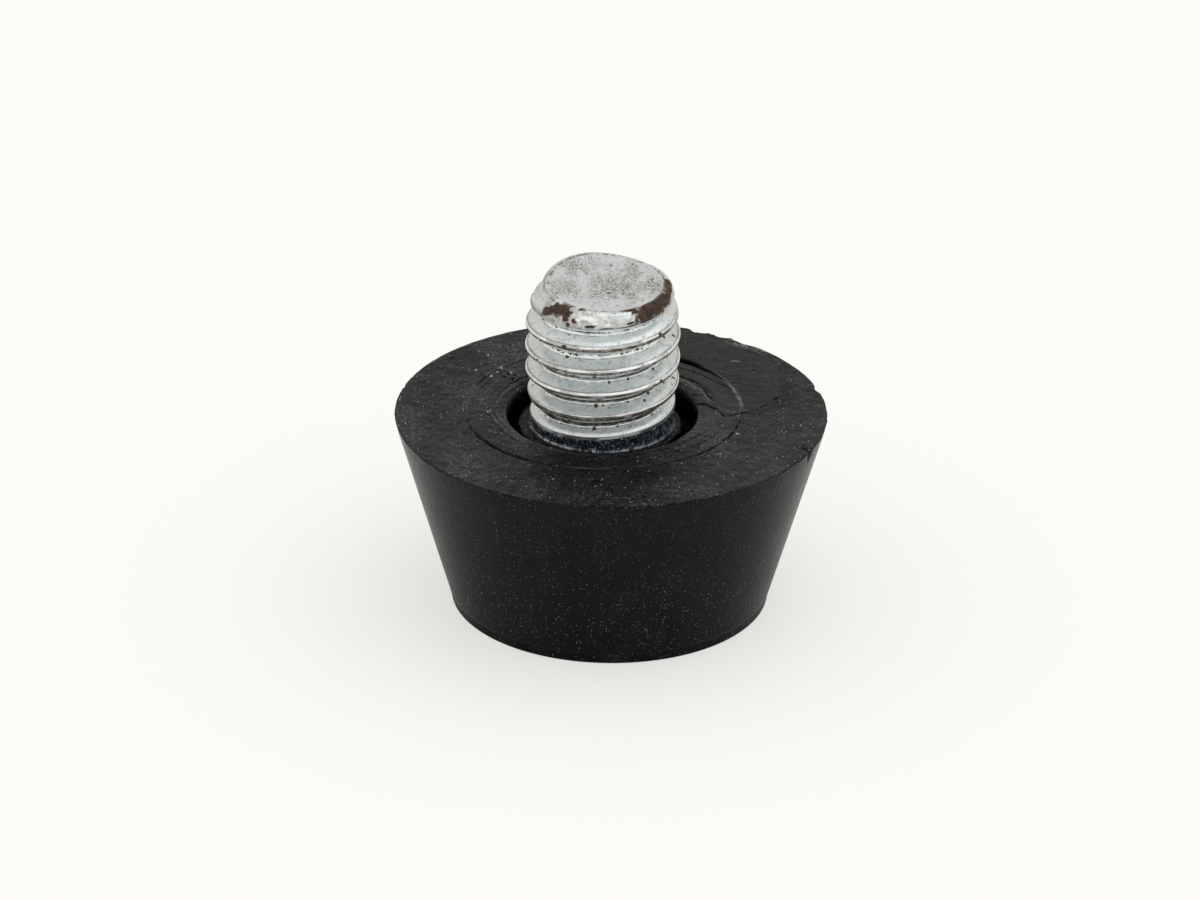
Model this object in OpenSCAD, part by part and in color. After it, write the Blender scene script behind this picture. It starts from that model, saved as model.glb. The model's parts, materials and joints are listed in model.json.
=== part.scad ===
// Small conical leveling foot: a moulded rubber cone, wide face up, on a
// zinc-plated M8 stud whose flat head is moulded into the rubber.
// Units are millimetres. The origin is the centre of the sole, +Z is up.

/* [Rubber cone] */
// Diameter of the top face
top_d = 22.2; // [20:0.1:30]
// Diameter that the cone's straight side would reach at the floor
base_d = 16.2; // [15.6:0.1:19]
// Height of the top face above the floor
foot_h = 10.3; // [9.5:0.05:20]
// Height of the mould's parting step above the floor
step_h = 0.55; // [0.4:0.05:1]
// How far the sole stands inside the parting step
step_in = 0.08; // [0.04:0.01:0.2]
// Rounding of the sole's edge
sole_edge_r = 0.15; // [0.05:0.01:0.3]
// Rounding of the sharp rim of the top face
rim_edge_r = 0.06; // [0.03:0.01:0.2]

/* [Recess around the stud] */
// Diameter of the recess at its mouth
recess_d = 9.7; // [9.4:0.1:11]
// Diameter of the recess at its floor
recess_floor_d = 9.2; // [9.1:0.1:9.4]
// Depth of the recess below the top face
recess_depth = 1.4; // [0.8:0.05:2]
// Thickness of the rubber skin that climbs the shank
skin_t = 0.1; // [0.05:0.01:0.15]
// Diameter of the ledge that the skin stands on
ledge_d = 8.5; // [8.3:0.1:8.9]
// Depth of the ledge below the top face
ledge_drop = 0.6; // [0.4:0.05:0.8]
// Radius of the fillet between the skin and the ledge
skin_fillet_r = 0.06; // [0.03:0.01:0.15]
// Diameter of the ring that the mould's core left in the top face
ring_d = 14.2; // [12:0.1:16]
// Width of that ring's groove
ring_w = 0.16; // [0.1:0.01:0.4]
// Depth of that ring's groove
ring_depth = 0.08; // [0.04:0.01:0.2]
// Offset of that ring from the stud's axis along Y
ring_y = 0.3; // [-0.4:0.05:0.4]

/* [Stud] */
// Crest diameter of the M8 x 1.25 thread
thread_d = 7.9; // [7.76:0.01:7.97]
// Diameter of the plain shank below the thread
shank_d = 7.1; // [6.9:0.05:7.2]
// Height of the stud's tip above the top face
stud_out = 7.55; // [6:0.05:40]
// Height above the top face at which the thread begins
thread_gap = 0.1; // [0.05:0.05:1]
// Offset of the stud from the cone's axis along X
stud_x = -0.45; // [-0.6:0.05:0.6]
// Offset of the stud from the cone's axis along Y
stud_y = 0.15; // [-0.6:0.05:0.6]

/* [Stud tip] */
// Diameter of the tip inside its rounded rim
tip_d = 6.1; // [5.6:0.1:6.3]
// Rounding of the tip's rim
tip_edge_r = 0.2; // [0.1:0.05:0.3]
// Length of the chamfer that leads the thread in
lead_in = 0.85; // [0.6:0.05:1.2]
// Depth of the dish that was left when the blank was cut off
dish_depth = 0.12; // [0.05:0.01:0.3]

/* [Stud head] */
// Diameter of the flat head inside the rubber
head_d = 12; // [10:0.5:13]
// Thickness of the head
head_t = 1.6; // [1:0.1:2.5]
// Thickness of the rubber below the head
head_cover = 2.6; // [1.5:0.1:4]
// Rounding of the head's rim and of its neck
head_r = 0.4; // [0.2:0.05:0.45]

/* [Hidden] */
$fn = 96;
// Segments in the outline of a rounded edge
arc_steps = 5;
// Length that a cut runs past the face it opens
over = 1;
rubber_color = "#1f1f20";
zinc_color = "#c3c9ca";

top_r = top_d / 2;
base_r = base_d / 2;
side_slope = (top_r - base_r) / (foot_h - rim_edge_r);
step_r = base_r + side_slope * step_h;
sole_r = step_r - step_in;
shank_r = shank_d / 2;
skin_r = shank_r + skin_t;
thread_r = thread_d / 2;
recess_z = foot_h - recess_depth;
ledge_z = foot_h - ledge_drop;
ledge_r = ledge_d / 2;
thread_z = foot_h + thread_gap;
thread_run_out = thread_r - skin_r;
tip_z = foot_h + stud_out;
tip_r = tip_d / 2;
head_z = head_cover;
head_top = head_z + head_t;

// Points of an arc about centre c, from angle a0 to angle a1
function arc(c, r, a0, a1) = [
    for (i = [0 : arc_steps])
        let (a = a0 + (a1 - a0) * i / arc_steps)
        [c[0] + r * cos(a), c[1] + r * sin(a)]
];

// Half section of the cone: sole, parting step, straight side, sharp rim
module cone_outline() {
    polygon(concat(
        [[0, 0]],
        arc([sole_r - sole_edge_r, sole_edge_r], sole_edge_r, -90, 0),
        [[sole_r, step_h], [step_r, step_h]],
        arc([top_r - rim_edge_r, foot_h - rim_edge_r], rim_edge_r, 0, 90),
        [[0, foot_h]]
    ));
}

// Half section of the recess: a narrow moat round a ledge, with a small
// fillet where the rubber climbs the shank
module recess_outline() {
    polygon(concat(
        arc([skin_r + skin_fillet_r, ledge_z + skin_fillet_r], skin_fillet_r, 180, 270),
        [
            [ledge_r, ledge_z],
            [ledge_r, recess_z],
            [recess_floor_d / 2, recess_z],
            [recess_d / 2, foot_h],
            [recess_d / 2, foot_h + over],
            [skin_r, foot_h + over]
        ]
    ));
}

// Section of the V groove that the mould's core left
module ring_outline() {
    polygon([
        [(ring_d - ring_w) / 2, foot_h],
        [ring_d / 2, foot_h - ring_depth],
        [(ring_d + ring_w) / 2, foot_h],
        [ring_d / 2, foot_h + over]
    ]);
}

// Half section of the stud: head, neck, plain shank, thread and tip
module stud_outline() {
    polygon(concat(
        [[0, head_z]],
        arc([head_d / 2 - head_r, head_z + head_r], head_r, -90, 0),
        arc([head_d / 2 - head_r, head_top - head_r], head_r, 0, 90),
        arc([shank_r + head_r, head_top + head_r], head_r, 270, 180),
        [
            [shank_r, thread_z],
            [skin_r, thread_z],
            [thread_r, thread_z + thread_run_out],
            [thread_r, tip_z - lead_in]
        ],
        arc([tip_r, tip_z - tip_edge_r], tip_edge_r, 0, 90),
        [[0, tip_z - dish_depth]]
    ));
}

// The stud's axis stands a little off the cone's
module at_stud() {
    translate([stud_x, stud_y, 0]) children();
}

module stud_solid() {
    at_stud() rotate_extrude() stud_outline();
}

// One moulding: the cone, its recess and the skin up the shank, bonded
// to the stud's head and shank face to face
module rubber_foot() {
    color(rubber_color) difference() {
        union() {
            rotate_extrude() cone_outline();
            at_stud() translate([0, 0, recess_z]) cylinder(h = thread_z - recess_z, r = skin_r);
        }
        at_stud() rotate_extrude() recess_outline();
        at_stud() translate([0, ring_y, 0]) rotate_extrude() ring_outline();
        stud_solid();
    }
}

// One cold-headed, zinc-plated bolt. The rolled thread is a plain
// cylinder at its crest diameter.
module stud_bolt() {
    color(zinc_color) stud_solid();
}

rubber_foot();
stud_bolt();
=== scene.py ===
import json
import math
from functools import partial

import bpy
import numpy as np
from mathutils import Matrix, Vector


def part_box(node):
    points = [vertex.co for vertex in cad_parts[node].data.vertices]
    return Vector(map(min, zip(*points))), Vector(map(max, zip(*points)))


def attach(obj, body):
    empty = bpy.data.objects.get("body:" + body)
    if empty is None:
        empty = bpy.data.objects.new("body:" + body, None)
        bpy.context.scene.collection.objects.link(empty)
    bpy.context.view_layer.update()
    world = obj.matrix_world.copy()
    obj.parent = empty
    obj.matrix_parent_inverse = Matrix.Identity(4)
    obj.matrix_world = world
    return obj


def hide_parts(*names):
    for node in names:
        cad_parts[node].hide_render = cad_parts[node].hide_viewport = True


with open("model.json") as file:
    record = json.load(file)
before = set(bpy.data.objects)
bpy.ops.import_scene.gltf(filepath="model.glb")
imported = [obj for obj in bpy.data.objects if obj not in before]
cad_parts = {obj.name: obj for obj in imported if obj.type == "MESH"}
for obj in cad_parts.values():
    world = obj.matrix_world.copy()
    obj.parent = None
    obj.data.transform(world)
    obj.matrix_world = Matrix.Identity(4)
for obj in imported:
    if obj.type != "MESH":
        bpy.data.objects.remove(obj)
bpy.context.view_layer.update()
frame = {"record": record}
mm = 0.001
print("leveling foot: frame loaded")

# Places that the CAD gives: the wide face, the stud's axis and thread, its head and its tip
mounts = {m["name"]: m for m in frame["record"]["mounts"]}
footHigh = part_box("rubber_foot")[1] / mm
studLow, studHigh = (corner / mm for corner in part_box("stud_bolt"))
faceZ = mounts["seat_face"]["pos_m"][2] / mm
studX, studY = (mounts["stud_thread"]["pos_m"][i] / mm for i in (0, 1))
crestR = mounts["stud_thread"]["dims"]["r_mm"]
rimR = footHigh.x
headR = (studHigh.x - studLow.x) / 2


def linearColour(hexText):
    # sRGB hex to linear, with full alpha
    parts = [int(hexText[i:i + 2], 16) / 255 for i in (1, 3, 5)]
    return [p / 12.92 if p <= 0.04045 else ((p + 0.055) / 1.055) ** 2.4 for p in parts] + [1.0]


def addNode(tree, kind, *inputs, ramp=None, **settings):
    # One shader node with its settings and links. Inputs are values, sockets, or nodes for their first
    # output, in the node's own order or, in a dictionary, by name. A word before them is the operation.
    made = tree.nodes.new("ShaderNode" + kind)
    if inputs and isinstance(inputs[0], str):
        made.operation = inputs[0]
        inputs = inputs[1:]
    for name, value in settings.items():
        setattr(made, name, value)
    named = inputs[0] if inputs and isinstance(inputs[0], dict) else dict(enumerate(inputs))
    for name, value in named.items():
        if isinstance(value, bpy.types.Node):
            value = value.outputs[0]
        if isinstance(value, bpy.types.NodeSocket):
            tree.links.new(value, made.inputs[name])
        else:
            made.inputs[name].default_value = value
    if ramp:
        for element, (place, colour) in zip(made.color_ramp.elements, ramp):
            element.position = place
            element.color = colour
    return made


def newMaterial(name):
    # an empty material, and what adds nodes to it
    material = bpy.data.materials.new(name)
    material.use_nodes = True
    material.node_tree.nodes.clear()
    return material, partial(addNode, material.node_tree)


def readPiece(add, names):
    # places on a piece in millimetres, and its painted fields
    place = add("TexCoord").outputs["Object"]
    inMm = add("VectorMath", "SCALE", {0: place, "Scale": 1 / mm})
    return inMm, {name: add("Attribute", attribute_name=name).outputs["Fac"] for name in names}


def coloursOf(look):
    return {name: linearColour(value) for name, value in look.items() if isinstance(value, str)}


def lumps(x, y, z, size, seed):
    # smooth random heights from -1 to 1, in lumps of about that size, that repeat after a count of them
    count = 32
    table = np.random.default_rng(seed).uniform(-1, 1, (count, count, count))
    cells = [v / size for v in np.broadcast_arrays(*(np.asarray(v, float) for v in (x, y, z)))]
    low = [np.floor(c).astype(int) for c in cells]
    part = [c - l for c, l in zip(cells, low)]
    part = [p * p * (3 - 2 * p) for p in part]
    total = 0
    for corner in np.ndindex(2, 2, 2):
        weight = 1
        for bit, p in zip(corner, part):
            weight = weight * (p if bit else 1 - p)
        total = total + weight * table[tuple((l + bit) % count for l, bit in zip(low, corner))]
    return total


def smoothStep(x, low, high):
    t = np.clip((x - low) / (high - low), 0, 1)
    return t * t * (3 - 2 * t)


def softLower(a, b, blend):
    # the lower of two values, rounded over where they cross
    h = np.clip(0.5 + 0.5 * (b - a) / blend, 0, 1)
    return b * (1 - h) + a * h - blend * h * (1 - h)


def softUpper(a, b, blend):
    return -softLower(-a, -b, blend)


def bell(x, halfWidth):
    return np.exp(-((x / halfWidth) ** 2))


def along(at, pairs):
    # a value read off between (place, value) pairs
    return np.interp(at, *zip(*pairs))


def degreesFrom(middle, degrees):
    # signed angle from a bearing, the short way round
    return (degrees - middle + 180) % 360 - 180


def nearLine(x, y, line):
    # distance to a bent line
    nearest = np.full(np.shape(x), np.inf)
    for (ax, ay), (bx, by) in zip(line, line[1:]):
        dx, dy = bx - ax, by - ay
        t = np.clip(((x - ax) * dx + (y - ay) * dy) / (dx * dx + dy * dy), 0, 1)
        nearest = np.minimum(nearest, np.hypot(x - ax - t * dx, y - ay - t * dy))
    return nearest


def bridge(ringA, ringB):
    # quads between two closed rings of point numbers; they face out when ring B follows ring A up the outside
    return list(zip(ringA, np.roll(ringA, -1), np.roll(ringB, -1), ringB))


def fan(centre, ring):
    return list(zip([centre] * len(ring), np.roll(ring, -1), ring))


def meshPiece(name, points, faces, fields):
    # a smooth-shaded mesh from points in millimetres; its painted fields become attributes
    flat = np.array([number for face in faces for number in face])
    used, renumbered = np.unique(flat, return_inverse=True)
    ends = np.cumsum([len(face) for face in faces])[:-1]
    mesh = bpy.data.meshes.new(name)
    mesh.from_pydata((points[used] * mm).tolist(), [], [part.tolist() for part in np.split(renumbered, ends)])
    mesh.polygons.foreach_set("use_smooth", [True] * len(mesh.polygons))
    for field, values in fields.items():
        layer = mesh.attributes.new(field, "FLOAT", "POINT")
        layer.data.foreach_set("value", values[used].astype(np.float32))
    piece = bpy.data.objects.new(name, mesh)
    bpy.context.scene.collection.objects.link(piece)
    print(f"leveling foot: {name} has {len(used)} points and {len(faces)} faces")
    return piece


# Camera: a long lens from the front that looks down on the wide face, turned a little about its own axis
view = {
    "lens": 210,
    "sensor": 36,
    "aim": (-0.545, 0, 8.126),
    "distance": 359.3,
    "elevation": 25.73,
    "roll": 0.467,
}


def setCamera():
    rise, roll = math.radians(view["elevation"]), math.radians(view["roll"])
    back = Vector((0, -math.cos(rise), math.sin(rise)))
    right = Vector((1, 0, 0))
    up = Vector((0, math.sin(rise), math.cos(rise)))
    turnedRight = right * math.cos(roll) + up * math.sin(roll)
    turnedUp = up * math.cos(roll) - right * math.sin(roll)
    data = bpy.data.cameras.new("camera")
    data.lens = view["lens"]
    data.sensor_width = view["sensor"]
    data.clip_start = 0.01
    camera = bpy.data.objects.new("camera", data)
    bpy.context.scene.collection.objects.link(camera)
    turn = Matrix((turnedRight, turnedUp, back)).transposed().to_4x4()
    camera.matrix_world = Matrix.Translation((Vector(view["aim"]) + back * view["distance"]) * mm) @ turn
    bpy.context.scene.camera = camera


setCamera()
print("leveling foot: camera set")

# Pale studio: matt floor, even white surround and one wide soft box above. Sizes in metres.
studio = {
    "floorHalf": 1.5,
    "floorColour": "#fbfaf8",
    "floorOwnLight": 0.56,  # share of the floor's white that no shadow takes away
    "floorGlow": 1.05,
    "surround": 0.88,
    "surroundColour": "#fffcf8",
    "boxPlace": (0.22, 0.0, 0.7),
    "boxSide": 0.7,
    "boxWatts": 0.9,
    "boxColour": "#f8fbff",
}


def makeStudio():
    # Matt white paper: it keeps a soft shadow, and its own light stands for the white around it
    paper, add = newMaterial("matt_white_paper")
    white = linearColour(studio["floorColour"])
    matt = add("BsdfDiffuse", {"Color": white})
    glow = add("Emission", {"Color": white, "Strength": studio["floorGlow"]})
    seen = add("Math", "MULTIPLY", add("LightPath").outputs["Is Camera Ray"], studio["floorOwnLight"])
    add("OutputMaterial", add("MixShader", seen, matt, glow))
    half = studio["floorHalf"]
    corners = [(-half, -half, 0), (half, -half, 0), (half, half, 0), (-half, half, 0)]
    mesh = bpy.data.meshes.new("floor")
    mesh.from_pydata(corners, [], [(0, 1, 2, 3)])
    floor = bpy.data.objects.new("floor", mesh)
    floor.data.materials.append(paper)
    bpy.context.scene.collection.objects.link(floor)

    world = bpy.data.worlds.new("studio")
    world.use_nodes = True
    world.node_tree.nodes.clear()
    bpy.context.scene.world = world
    add = partial(addNode, world.node_tree)
    # the camera sees full white, the object a little less
    strength = add("MapRange", {"Value": add("LightPath").outputs["Is Camera Ray"],
                                "To Min": studio["surround"], "To Max": 1.0})
    add("OutputWorld", add("Background", linearColour(studio["surroundColour"]), strength))

    lamp = bpy.data.lights.new("softBoxAbove", "AREA")
    lamp.shape = "RECTANGLE"
    lamp.size = lamp.size_y = studio["boxSide"]
    lamp.energy = studio["boxWatts"]
    lamp.color = linearColour(studio["boxColour"])[:3]
    box = bpy.data.objects.new("softBoxAbove", lamp)
    box.location = studio["boxPlace"]
    box.rotation_euler = (-Vector(studio["boxPlace"])).to_track_quat("-Z", "Y").to_euler()
    bpy.context.scene.collection.objects.link(box)


makeStudio()
print("leveling foot: floor and lights set")

# Stud: M8 x 1.25 rolled thread that runs out at both ends, a cut blank end, a flat head inside the rubber.
# Heights are above the wide face, distances in mm.
stud = {
    "pitch": 1.28,  # the standard has 1.25, the worn thread measures a little more
    "crestAtAngleZero": 0.549,  # height of a crest on the +X side
    "flatCrest": 0.19,
    "flankSlope": 1 / math.tan(math.radians(30)),  # 60 degree thread
    "rootDepth": 0.69,
    "rootCurve": 0.09,
    "crestCurve": 0.1,
    "fillCurve": 0.06,
    "seamAt": -0.012,  # the fold that thread rolling leaves along the crest
    "seamDepth": 0.02,
    "seamWidth": 0.02,
    "shankR": 3.55,
    "columns": 320,
    "turns": (-2, 6),  # turns of rows, past both ends of the thread
    # rows from the middle of the crest towards the middle of the root
    "rowSteps": (
        0, 0.02, 0.04, 0.06, 0.08, 0.095, 0.11, 0.125, 0.145, 0.165, 0.19, 0.27, 0.36, 0.44, 0.465, 0.485,
        0.505, 0.53, 0.56, 0.6,
    ),
    "threadLow": -0.55,
    "threadHigh": 7.0,
    "snap": 0.008,  # rows closer to an end than this are merged with it
    "shankRow": -1.5,  # a row on the plain shank
    "headTop": 4.2 - faceZ,  # 4.2 mm above the floor
    "headInnerR": 2.5,  # the innermost row under the head
    "rounding": 0.4,  # of the head's rim and neck
    "endR": 3.03,  # the flat of the cut end
    "chamferR": 3.4,  # about the middle of the chamfer
    "tipShift": 0.17,  # the cut end stands off the thread's axis
    # the stud leans to the front, the cut end most: rise at the back by height, at the radius endR
    "lean": ((-1.5, 0), (-0.6, 0.115), (6.3, 0.115), (6.8, 0.19), (7.1, 0.265)),
    "tipTwist": 0.17,
    # rows of the cut end: radius, and height above the thread's highest row
    "tipEdge": (
        (3.28, 0.04), (3.24, 0.09), (3.18, 0.14), (3.11, 0.175), (3.03, 0.19), (2.95, 0.185),
        (2.84, 0.165), (2.7, 0.14), (2.55, 0.125), (2.4, 0.115), (2.2, 0.107), (2.0, 0.1), (1.8, 0.095),
        (1.6, 0.092), (1.4, 0.09), (1.2, 0.087), (1.0, 0.085), (0.8, 0.083), (0.6, 0.081), (0.4, 0.08),
        (0.2, 0.08),
    ),
    # largest and smallest radius by height: short crests where the thread runs out and at the chamfer
    "limit": (
        (-0.5, 3.5), (-0.2, 3.62), (0.05, 3.71), (0.7, 3.73), (1.3, 3.84), (1.9, 3.92), (2.6, 3.95),
        (4.6, 3.96), (5.1, 3.94), (5.7, 3.82), (6.2, 3.7), (6.55, 3.57), (6.88, 3.38), (7.0, 3.3),
        (7.6, 3.2),
    ),
    "fill": ((5.8, 3.2), (6.3, 3.36), (6.6, 3.42), (6.85, 3.36), (7.0, 3.3), (7.6, 3.2)),
}


def turnsUp(angle, height):
    # how many turns of the thread lie between a place and the crest that starts at angle zero
    return (height - stud["crestAtAngleZero"]) / stud["pitch"] - angle / (2 * math.pi)


def aboveCrest(angle, height):
    # millimetres above the nearest crest, from minus half a pitch to half a pitch
    turns = turnsUp(angle, height)
    return (turns - np.round(turns)) * stud["pitch"]


def studRadius(angle, height):
    above = aboveCrest(angle, height)
    flank = crestR - stud["flankSlope"] * (np.abs(above) - stud["flatCrest"] / 2)
    radius = softUpper(flank, crestR - stud["rootDepth"], stud["rootCurve"])
    radius = softUpper(radius, along(height, stud["fill"]), stud["fillCurve"])
    radius = softLower(radius, along(height, stud["limit"]), stud["crestCurve"])
    seam = bell(above - stud["seamAt"], stud["seamWidth"]) * smoothStep(radius, 3.6, 3.8)
    radius = radius - stud["seamDepth"] * seam
    # under the last crest there is no groove, only the plain shank
    turns = turnsUp(angle, height)
    groove = smoothStep(turns, -1.3, -1.1)
    plain = np.maximum(radius * groove + stud["shankR"] * (1 - groove), stud["shankR"])
    return np.where(turns < -1, plain, radius)


def threadRows():
    # Rows of points that follow the helix. Rows past either end are pressed onto it and merged into one ring.
    columns, pitch = stud["columns"], stud["pitch"]
    half = np.array(stud["rowSteps"])
    steps = np.concatenate([half, [pitch / 2], pitch - half[:0:-1]])
    perTurn = len(steps)
    rows = (np.arange(*stud["turns"])[:, None] * pitch + steps[None, :]).ravel()
    angle = 2 * math.pi * np.arange(columns) / columns
    height = stud["crestAtAngleZero"] + pitch * angle[:, None] / (2 * math.pi) + rows[None, :]
    low, high, snap = stud["threadLow"], stud["threadHigh"], stud["snap"]
    height = np.where(height < low + snap, low, np.where(height > high - snap, high, height))
    number = np.arange(height.size).reshape(height.shape)
    last = len(rows) - 1
    lowRing = number[np.arange(columns), (height == low).sum(1) - 1]
    highRing = number[np.arange(columns), last + 1 - (height == high).sum(1)]
    number = np.where(height == low, lowRing[:, None], np.where(height == high, highRing[:, None], number))
    faces = []
    for i in range(columns):
        here = number[i]
        there = number[i + 1] if i + 1 < columns else np.append(number[0][perTurn:], [highRing[0]] * perTurn)
        for j in range(last):
            face = list(dict.fromkeys((here[j], there[j], there[j + 1], here[j + 1])))
            if len(face) > 2:
                faces.append(face)
    return np.broadcast_to(angle[:, None], height.shape).ravel(), height.ravel(), faces, lowRing, highRing


def leanAt(angle, height, radius):
    return along(height, stud["lean"]) * np.sin(angle) * radius / stud["endR"]


def studPoints(angle, height, radius):
    # places in the CAD frame
    back = np.maximum(np.sin(angle), 0) * (radius / stud["endR"]) ** 2
    twist = stud["tipTwist"] * np.sin(2 * angle) * back
    x = studX + radius * np.cos(angle) + stud["tipShift"] * smoothStep(height, 6.0, 7.0)
    z = faceZ + height + leanAt(angle, height, radius) - twist * smoothStep(height, 6.5, 7.1)
    return np.stack([x, studY + radius * np.sin(angle), z], -1)


def buildStud():
    columns, shankR, r = stud["columns"], stud["shankR"], stud["rounding"]
    angle, height, faces, lowRing, highRing = threadRows()
    radius = studRadius(angle, height)
    ends = 2 * math.pi * np.arange(columns) / columns
    top, low = stud["headTop"], studLow.z - faceZ
    quarter = [(r * math.sin(a), r * math.cos(a)) for a in np.radians((0, 30, 60, 90))]
    head = [(stud["headInnerR"], low)]
    head += [(headR - r + out, low + r - up) for out, up in quarter]
    head += [(headR - r + out, top - r + up) for up, out in quarter]
    head += [(shankR + r - out, top + r - up) for out, up in quarter]
    head += [(shankR, stud["shankRow"])]
    tip = [(tipR, stud["threadHigh"] + rise) for tipR, rise in stud["tipEdge"]]
    rings = []
    for ringR, ringZ in head + tip:
        rings.append(len(angle) + np.arange(columns))
        angle = np.append(angle, ends)
        height = np.append(height, np.full(columns, ringZ))
        radius = np.append(radius, np.full(columns, ringR))
    for chain in (rings[:len(head)] + [lowRing], [highRing] + rings[len(head):]):
        for ringA, ringB in zip(chain, chain[1:]):
            faces += bridge(ringA, ringB)
    # a middle point closes each end
    for ring in (rings[0], rings[-1][::-1]):
        height = np.append(height, height[ring].mean())
        angle, radius = np.append(angle, 0), np.append(radius, 0)
        faces += fan(len(angle) - 1, ring)
    points = studPoints(angle, height, radius)
    return meshPiece("threaded_stud", points, faces, studFields(angle, height, radius))


# The larger dirt specks on the thread: angle in degrees, height above the wide face, size in mm
threadSpecks = [
    (240, 5.3, 0.13), (240, 4.6, 0.09), (207, 3.8, 0.12), (213, 3.9, 0.1), (236, 3.4, 0.09),
    (243, 3.4, 0.13), (218, 2.0, 0.1), (250, 4.4, 0.07), (292, 4.8, 0.08), (319, 5.6, 0.12),
    (349, 4.6, 0.1), (354, 2.1, 0.1), (319, 3.0, 0.13), (315, 2.2, 0.11), (308, 2.0, 0.09),
    (288, 2.4, 0.08), (286, 1.0, 0.09), (312, 1.0, 0.08),
]
# Small ones, scattered over the front just under the crests and in the roots
speckDust = {
    "seed": 12,
    "count": 70,
    "angles": (200, 355),
    "heights": (0.6, 5.9),
    "underCrest": (0.12, 0.2, 0.5, 0.62, 0.62, 0.8),
    "sizes": (0.05, 0.12),
}


def speckPlaces():
    draw = np.random.default_rng(speckDust["seed"])
    places = list(threadSpecks)
    for _ in range(speckDust["count"]):
        at, up = draw.uniform(*speckDust["angles"]), draw.uniform(*speckDust["heights"])
        up -= aboveCrest(math.radians(at), up) + draw.choice(speckDust["underCrest"])
        places.append((at, up, draw.uniform(*speckDust["sizes"])))
    return places


# Rust on the cut end's rim, as bent bands: (angle, height above the wide face) and half width in mm
rustBands = [
    (((213, 6.55), (217, 6.7)), 0.22), (((222, 6.86), (228, 6.95), (233, 6.86)), 0.27),
    (((234, 6.68), (236, 6.6)), 0.13), (((244, 7.2), (262, 7.26), (280, 7.24), (298, 7.18)), 0.033),
    (((228, 7.2), (231, 7.35)), 0.07), (((239, 6.45), (240, 6.38)), 0.09),
    (((242, 6.66), (244, 6.6)), 0.06), (((255, 6.47), (261, 6.5)), 0.065),
    (((289, 6.6), (294, 6.64)), 0.04), (((304, 6.86), (310, 6.98)), 0.42),
    (((310, 6.98), (322, 7.0)), 0.4), (((322, 7.0), (338, 7.02)), 0.26),
    (((338, 7.02), (366, 7.14)), 0.13), (((294, 7.1), (299, 7.12)), 0.06),
    (((268, 6.42), (296, 6.45)), 0.03), (((300, 6.55), (325, 6.68)), 0.04),
]
# Brown stains on the cut end: x and y from its centre, half sizes in mm, strength
tipStains = [
    (0.4, -0.1, 1.2, 1.2, 1.2), (-1.9, -0.4, 0.7, 1.2, 0.85), (-1.8, 1.7, 0.9, 0.9, 0.9),
    (1.3, 1.3, 0.7, 1.0, 0.8), (2.3, -0.1, 0.7, 0.9, 0.9), (-0.4, 2.0, 0.8, 0.6, 0.5),
    (-0.6, -1.2, 0.7, 0.6, 0.6), (1.2, -1.4, 0.9, 0.5, 0.5),
]
# Painted highlights on the chamfer, white patches that stand in for reflections: angle, height, half length
# and half height
chamferGlints = [
    (255, 6.87, 0.45, 0.12), (262, 6.66, 0.16, 0.06), (246, 6.72, 0.14, 0.05), (272, 6.62, 0.12, 0.04),
    (248, 7.33, 0.42, 0.04), (264, 7.36, 0.14, 0.04), (276, 7.34, 0.1, 0.04), (292, 7.28, 0.2, 0.045),
    (297, 6.74, 0.3, 0.035),
]


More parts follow.
